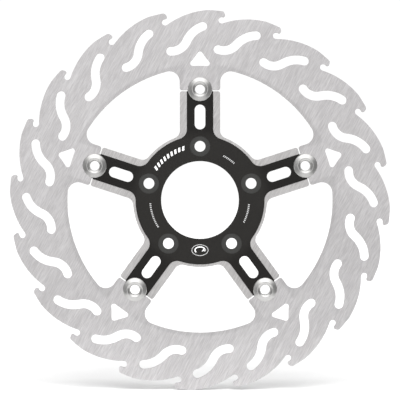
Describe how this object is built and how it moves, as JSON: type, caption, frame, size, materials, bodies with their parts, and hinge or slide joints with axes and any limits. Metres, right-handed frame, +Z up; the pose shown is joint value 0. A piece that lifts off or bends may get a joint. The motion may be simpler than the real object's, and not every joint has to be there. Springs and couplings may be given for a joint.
{
  "type": "floating brake disc",
  "caption": "Floating brake disc: toothed, slotted steel friction ring hung on sprung bobbins from a black-faced five-armed hub carrier.",
  "frame": {"origin": "centre of the carrier's bore, on its mounting (back) face", "axes": "+Y along the disc's axis from the front face towards the wheel hub; +Z up through the first arm; the front looks towards -Y"},
  "size_m": [0.2918, 0.01, 0.2918],
  "materials": {
    "ring_steel": "straight-grained, satin",
    "carrier_aluminium": "black anodised raised face, bare machined ledge",
    "bobbin_steel": "fine turned",
    "shim_steel": "rolled",
    "spring_steel": "tempered strip",
    "circlip_steel": "black phosphate"
  },
  "bodies": {
    "carrier": {"carrier": "carrier_aluminium", "wave_spring_1": "spring_steel", "wave_spring_2": "spring_steel", "wave_spring_3": "spring_steel", "wave_spring_4": "spring_steel", "wave_spring_5": "spring_steel"},
    "shims": {"shim_washer_1": "shim_steel", "shim_washer_2": "shim_steel", "shim_washer_3": "shim_steel", "shim_washer_4": "shim_steel", "shim_washer_5": "shim_steel"},
    "friction_ring": {"friction_ring": "ring_steel"},
    "bobbin_1": {"bobbin_1": "bobbin_steel", "retaining_ring_1": "circlip_steel"},
    "bobbin_2": {"bobbin_2": "bobbin_steel", "retaining_ring_2": "circlip_steel"},
    "bobbin_3": {"bobbin_3": "bobbin_steel", "retaining_ring_3": "circlip_steel"},
    "bobbin_4": {"bobbin_4": "bobbin_steel", "retaining_ring_4": "circlip_steel"},
    "bobbin_5": {"bobbin_5": "bobbin_steel", "retaining_ring_5": "circlip_steel"}
  },
  "joints": [
    {"name": "ring_float", "type": "slide", "parent": "carrier", "child": "shims", "axis": [0, 1, 0], "range_m": [0, 0.0004], "stiffness_N_per_m": 60000, "deforming": ["wave_spring_1", "wave_spring_2", "wave_spring_3", "wave_spring_4", "wave_spring_5"]},
    {"name": "ring_turn", "type": "hinge", "parent": "shims", "child": "friction_ring", "pos_m": [0, 0, 0], "axis": [0, 1, 0], "range_deg": [-0.05, 0.05]},
    {"name": "bobbin_spin_1", "type": "hinge", "parent": "carrier", "child": "bobbin_1", "pos_m": [0, 0, 0.0851], "axis": [0, -1, 0], "continuous": true},
    {"name": "bobbin_spin_2", "type": "hinge", "parent": "carrier", "child": "bobbin_2", "pos_m": [0.08094, 0, 0.0263], "axis": [0, -1, 0], "continuous": true},
    {"name": "bobbin_spin_3", "type": "hinge", "parent": "carrier", "child": "bobbin_3", "pos_m": [0.05002, 0, -0.06885], "axis": [0, -1, 0], "continuous": true},
    {"name": "bobbin_spin_4", "type": "hinge", "parent": "carrier", "child": "bobbin_4", "pos_m": [-0.05002, 0, -0.06885], "axis": [0, -1, 0], "continuous": true},
    {"name": "bobbin_spin_5", "type": "hinge", "parent": "carrier", "child": "bobbin_5", "pos_m": [-0.08094, 0, 0.0263], "axis": [0, -1, 0], "continuous": true}
  ]
}
